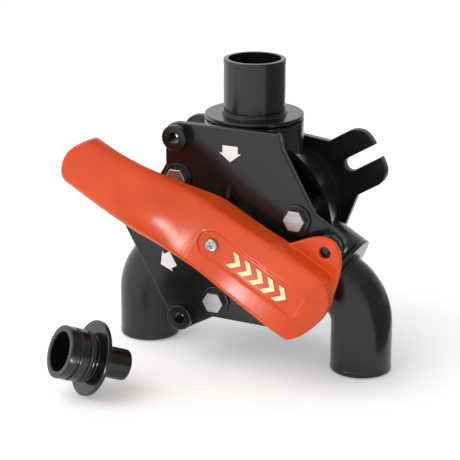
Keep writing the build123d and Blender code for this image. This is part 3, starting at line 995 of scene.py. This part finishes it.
@dataclass
class CoverBolts:
    """Six-sided bolts that hold the cover to the housing."""

    circle: float = 46.35
    angle: float = 18.46
    across: float = 12.0
    seat: float = 79.0
    head: float = 4.0
    shank: float = 4.0
    end: float = 34.0
    chamfer: float = 0.3
    thread_start: float = 59.0
    thread_depth: float = 0.25
    pitch: float = 1.0
    ring_step: int = 5
    under_edge: float = 0.15
    face_rim: float = 1.2
    flat_at: float = 2.0
    neck_drop: float = 0.5
    tip_taper: float = 0.6

    def blank(self) -> bpy.types.Mesh:
        """One bolt on the first place of its circle.

        Returns:
            A mesh in the working frame.
        """
        shell = Shell.empty()
        top = self.seat + self.head
        neck = self.seat - self.neck_drop
        levels = [(self.under_edge, self.seat), (0.0, self.seat + self.under_edge),
                  (0.0, self.seat + self.flat_at), (0.0, top - self.chamfer),
                  (self.chamfer, top), (self.chamfer + self.face_rim, top)]
        rings = [self.six_sided(shell, drop, height) for drop, height in levels]
        for a, b in zip(rings, rings[1:]):
            shell.bridge(a, b)
        shell.cap(rings[-1])
        last = self.round(shell, self.shank, self.seat)
        shell.bridge(rings[0], last)
        for radius, height in self.thread(neck):
            following = self.round(shell, radius, height)
            shell.bridge(last, following)
            last = following
        shell.cap(last)
        x, y = polar(self.circle, self.angle)
        return shell.moved(Matrix.Translation((x, y, 0))).mesh("bolt")

    def thread(self, neck: float) -> Loop:
        """Radius and height of each turn down the shank.

        Args:
            neck: height just under the head.

        Returns:
            (radius, height) pairs from the head to the tip.
        """
        turns = [(self.shank, neck), (self.shank, self.thread_start)]
        height = self.thread_start
        while height > self.end + 1.4 * self.pitch:
            turns += [(self.shank - self.thread_depth, height - self.pitch / 2),
                      (self.shank, height - self.pitch)]
            height -= self.pitch
        return turns + [(self.shank - self.tip_taper, self.end)]

    def six_sided(self, shell: Shell, drop: float, height: float) -> list[bmesh.types.BMVert]:
        """Add a six-sided ring.

        Args:
            shell: shell to add to.
            drop: how far inside the full size it lies.
            height: its height.

        Returns:
            The ring's vertices.
        """
        points = []
        for degrees in range(0, 360, self.ring_step):
            radius = (self.across / 2 - drop) / math.cos(math.radians(degrees % 60 - 30))
            points.append((*polar(radius, degrees), height))
        return shell.ring(points)

    def round(self, shell: Shell, radius: float, height: float) -> list[bmesh.types.BMVert]:
        """Add a round ring.

        Args:
            shell: shell to add to.
            radius: its radius.
            height: its height.

        Returns:
            The ring's vertices.
        """
        turns = range(0, 360, self.ring_step)
        return shell.ring((*polar(radius, degrees), height) for degrees in turns)

    def build(self, shop: Workshop) -> None:
        """Repeat the bolt round its circle."""
        steel = shop.materials[Slot.STEEL]
        bolts = Repeats.copies(self.blank(), 3, 120.0, (0, 0, 0), steel)
        shop.add("hex_bolts", bolts, Slot.STEEL, Body.VALVE, ("cover_bolts",), BOLT_SHARP)


@dataclass
class Lever:
    """Cranked lever with its padlock ear and arrow marks."""

    angle: float = 150.0
    top: float = 103.5
    recess: float = 0.8
    recess_tilt: float = 1.94
    mark_start: float = -13.5
    mark_step: float = 8.4
    mark_count: int = 5
    mark_height: float = 0.5
    mark_edge: float = 0.15
    mark_lift: float = 0.02
    voxel: float = 0.55
    round_from: float = 82.0
    crown: float = 3.2
    crown_from: float = 10.0
    crown_run: float = 26.0
    crown_half: float = 20.0
    crown_lead: float = 0.4
    grip: tuple[tuple[float, float, float], ...] = (
        (-2.0, 84.6, 103.5), (12.0, 85.2, 105.0), (24.0, 90.8, 109.2), (40.0, 98.8, 115.6),
        (56.0, 104.6, 120.0), (76.0, 108.4, 123.2), (102.0, 111.2, 125.4))

    def depth_at(self, along: float) -> tuple[float, float]:
        """Underside and top of the grip at a place along it.

        Args:
            along: place along the lever, mm.

        Returns:
            Heights of the underside and the top.
        """
        for (x0, low0, high0), (x1, low1, high1) in zip(self.grip, self.grip[1:]):
            if along <= x1:
                share = max(0.0, (along - x0) / (x1 - x0))
                return low0 + share * (low1 - low0), high0 + share * (high1 - high0)
        return self.grip[-1][1], self.grip[-1][2]

    def crowned(self, point: Vector) -> Vector:
        """Lower the sides of the grip's upper face, so that it is crowned across its width.

        Args:
            point: point in the lever's own frame.

        Returns:
            The lowered point.
        """
        ramp = min(1.0, max(0.0, (point.x - self.crown_from) / self.crown_run))
        ramp = ramp * ramp * (3 - 2 * ramp)
        if ramp == 0.0:
            return point
        low, high = self.depth_at(point.x)
        height = (point.z - low) / (high - low)
        lift = min(1.0, max(0.0, height * (1 + self.crown_lead) - self.crown_lead))
        drop = self.crown * ramp * lift * (point.y / self.crown_half) ** 2
        return Vector((point.x, point.y, point.z - drop))

    def mark(self) -> bpy.types.Mesh:
        """First arrow mark, lying on the floor of the recess.

        Returns:
            A mesh in the lever's own frame.
        """
        outline = [(3.4, -5.0), (-1.1, 0.0), (3.4, 5.0), (0.0, 5.0), (-4.5, 0.0), (0.0, -5.0)]
        outline = soften(outline[::-1], 0.25, 2, True)
        floor = self.top - self.recess + self.mark_lift
        top = floor + self.mark_height
        shell = Shell.empty().prism(outline, floor, top, self.mark_edge, 0.0)
        shell.moved(Matrix.Translation((self.mark_start, 0, 0)))
        return shell.moved(Matrix.Rotation(math.radians(-self.recess_tilt), 4, "Y")).mesh("mark")

    def marks(self, shop: Workshop) -> None:
        """Repeat the arrow mark along the recess."""
        tilt = math.radians(self.recess_tilt)
        step = (-self.mark_step * math.cos(tilt), 0.0, -self.mark_step * math.sin(tilt))
        cream = shop.materials[Slot.CREAM]
        row = Repeats.copies(self.mark(), self.mark_count, 0.0, step, cream)
        row.transform(Matrix.Rotation(math.radians(self.angle), 4, "Z"))
        shop.add("arrow_marks", row, Slot.CREAM, Body.LEVER, ("handle_marks",))

    def build(self, shop: Workshop) -> None:
        """Dress the lever and everything that turns with it."""
        shop.moulded("handle", Slot.ORANGE, Body.LEVER, self.angle, self.voxel, self.round_from,
                     self.crowned)
        self.marks(shop)
        for node, slot in (("handle_screw", Slot.STEEL), ("drive_shaft", Slot.STEEL),
                           ("shaft_seals", Slot.RUBBER), ("rotor", Slot.ROTOR),
                           ("gate_seal", Slot.RUBBER)):
            shop.dress(node, slot)


@dataclass
class Studio:
    """Pale floor, soft surroundings, lights and the camera."""

    floor_drop: float = 0.0008
    target: tuple[float, float, float] = (-0.0123, -0.0506, -0.0080)
    place: tuple[float, float, float] = (0.428253, -1.002220, 0.338710)
    right: tuple[float, float, float] = (0.90705, 0.42101, 0.00297)
    up: tuple[float, float, float] = (-0.13472, 0.28356, 0.94945)
    back: tuple[float, float, float] = (0.39888, -0.86160, 0.31392)
    lens: float = 138.06
    sensor: float = 36.0
    floor_glow: float = 0.24
    floor_half: float = 4.0
    floor_tone: tuple[float, float] = (0.93, 0.96)
    card_gap: float = 0.0005
    card_tone: float = 0.22
    bright: float = 1.1
    dim: float = 0.45
    shade_from: tuple[float, float, float] = (0.6, 0.35, 0.7)
    shade_span: tuple[float, float] = (0.15, 0.95)
    glint_place: tuple[float, float, float] = (-0.020, -0.193, -0.070)
    glint_aim: tuple[float, float, float] = (-0.0238, -0.109, 0.0068)
    glint_size: float = 0.016
    glint_watts: float = 0.030
    key_place: tuple[float, float, float] = (-1.2, -1.2, 1.8)
    key_size: float = 1.8
    key_watts: float = 18.0

    def camera(self) -> None:
        """Make the camera and look through it."""
        data = bpy.data.cameras.new("camera")
        data.lens = self.lens
        data.sensor_width = self.sensor
        camera = placed("camera", data)
        turn = Matrix((self.right, self.up, self.back)).transposed().to_4x4()
        camera.matrix_world = Matrix.Translation(self.place) @ turn
        bpy.context.scene.camera = camera

    def floor(self) -> None:
        """Lay a pale floor just under the lowest point."""
        low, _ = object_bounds()
        shell = bmesh.new()
        bmesh.ops.create_grid(shell, x_segments=24, y_segments=24, size=self.floor_half)
        bmesh.ops.translate(shell, verts=shell.verts, vec=(0, 0, low[2] - self.floor_drop))
        mesh = bpy.data.meshes.new("floor")
        shell.to_mesh(mesh)
        shell.free()
        mat, shader = plain_material("pale_floor")
        shader.inputs["Roughness"].default_value = 0.9
        shader.inputs["Specular IOR Level"].default_value = 0.0
        shader.inputs["Emission Color"].default_value = (1.0, 1.0, 1.0, 1.0)
        shader.inputs["Emission Strength"].default_value = self.floor_glow
        noise = mat.node_tree.nodes.new("ShaderNodeTexNoise")
        noise.inputs["Scale"].default_value = 3.0
        tint = mat.node_tree.nodes.new("ShaderNodeMapRange")
        tint.inputs["To Min"].default_value = self.floor_tone[0]
        tint.inputs["To Max"].default_value = self.floor_tone[1]
        mat.node_tree.links.new(noise.outputs["Fac"], tint.inputs["Value"])
        mat.node_tree.links.new(tint.outputs["Result"], shader.inputs["Base Color"])
        mesh.materials.append(mat)
        floor = placed("floor", mesh)
        floor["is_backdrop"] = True

    def surroundings(self) -> None:
        """Bright surroundings that fall off towards the upper right and the back."""
        world = bpy.data.worlds.new("studio")
        world.use_nodes = True
        tree = world.node_tree
        coords = tree.nodes.new("ShaderNodeTexCoord")
        facing = tree.nodes.new("ShaderNodeVectorMath")
        facing.operation = "DOT_PRODUCT"
        facing.inputs[1].default_value = Vector(self.shade_from).normalized()
        tree.links.new(coords.outputs["Generated"], facing.inputs[0])
        fall = tree.nodes.new("ShaderNodeMapRange")
        fall.interpolation_type = "SMOOTHSTEP"
        fall.inputs["From Min"].default_value = self.shade_span[0]
        fall.inputs["From Max"].default_value = self.shade_span[1]
        fall.inputs["To Min"].default_value = self.bright
        fall.inputs["To Max"].default_value = self.dim
        tree.links.new(facing.outputs["Value"], fall.inputs["Value"])
        tree.links.new(fall.outputs["Result"], tree.nodes["Background"].inputs["Strength"])
        tree.nodes["Background"].inputs["Color"].default_value = (1.0, 1.0, 1.0, 1.0)
        bpy.context.scene.world = world

    def flag(self, name: str, corners: Sequence[Sequence[float]]) -> None:
        """A dark card that only shows in gloss, to give round parts a dark side.

        Args:
            name: name of the card.
            corners: its four corners, metres.
        """
        mesh = bpy.data.meshes.new(name)
        mesh.from_pydata([tuple(c) for c in corners], [], [(0, 1, 2, 3)])
        mat, shader = plain_material(name)
        shader.inputs["Base Color"].default_value = (*[self.card_tone] * 3, 1.0)
        shader.inputs["Roughness"].default_value = 1.0
        mesh.materials.append(mat)
        card = placed(name, mesh)
        card.visible_camera = False
        card.visible_diffuse = False
        card.visible_shadow = False
        card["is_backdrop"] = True

    def glint(self) -> None:
        """A small light low in front that only shows in gloss, on the lever's slope."""
        self.lamp("glint", self.glint_place, self.glint_size, self.glint_watts, self.glint_aim)
        light = bpy.data.objects["glint"]
        light.visible_camera = False
        light.visible_diffuse = False

    def lamp(self, name: str, place: Sequence[float], size: float, watts: float,
             at: Sequence[float] | None = None) -> None:
        """A soft square light.

        Args:
            name: light name.
            place: where it stands, metres.
            size: side of the square.
            watts: power.
            at: point it faces, the middle of the valve if not given.
        """
        data = bpy.data.lights.new(name, "AREA")
        data.shape = "SQUARE"
        data.size = size
        data.energy = watts
        light = placed(name, data)
        aim = Vector(at or self.target) - Vector(place)
        turn = aim.to_track_quat("-Z", "Y").to_matrix().to_4x4()
        light.matrix_world = Matrix.Translation(place) @ turn

    def build(self) -> None:
        """Set up the whole studio."""
        self.camera()
        self.floor()
        self.surroundings()
        self.lamp("key", self.key_place, self.key_size, self.key_watts)
        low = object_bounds()[0][2] - self.floor_drop + self.card_gap
        self.flag("floor_flag", [(0.13, -0.06, low), (0.9, -0.5, low), (1.0, 1.2, low),
                                 (0.1, 0.8, low)])
        self.flag("side_flag", [(0.9, -0.5, low), (0.9, 0.9, low), (0.9, 0.9, 0.7),
                                (0.9, -0.5, 0.7)])
        self.glint()
        bpy.context.scene.view_settings.view_transform = "Standard"


def main() -> None:
    """Build every sub-assembly."""
    logging.basicConfig(level=logging.INFO, format="%(message)s")
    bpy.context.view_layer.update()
    # Finishes with a painted rim highlight also get a rim finish.
    shop = Workshop({finish.slot: finish.material() for finish in FINISHES},
                    {finish.slot: finish.rims() for finish in FINISHES if finish.painted_rim_highlight > 0})
    parts = (Bracket(), Housing(), FrontCover(), CoverBolts(), Ports(), Lever(), Reducer())
    for part in parts:
        LOG.info("building %s", type(part).__name__)
        part.build(shop)
    Studio().build()


if __name__ == "__main__":
    main()
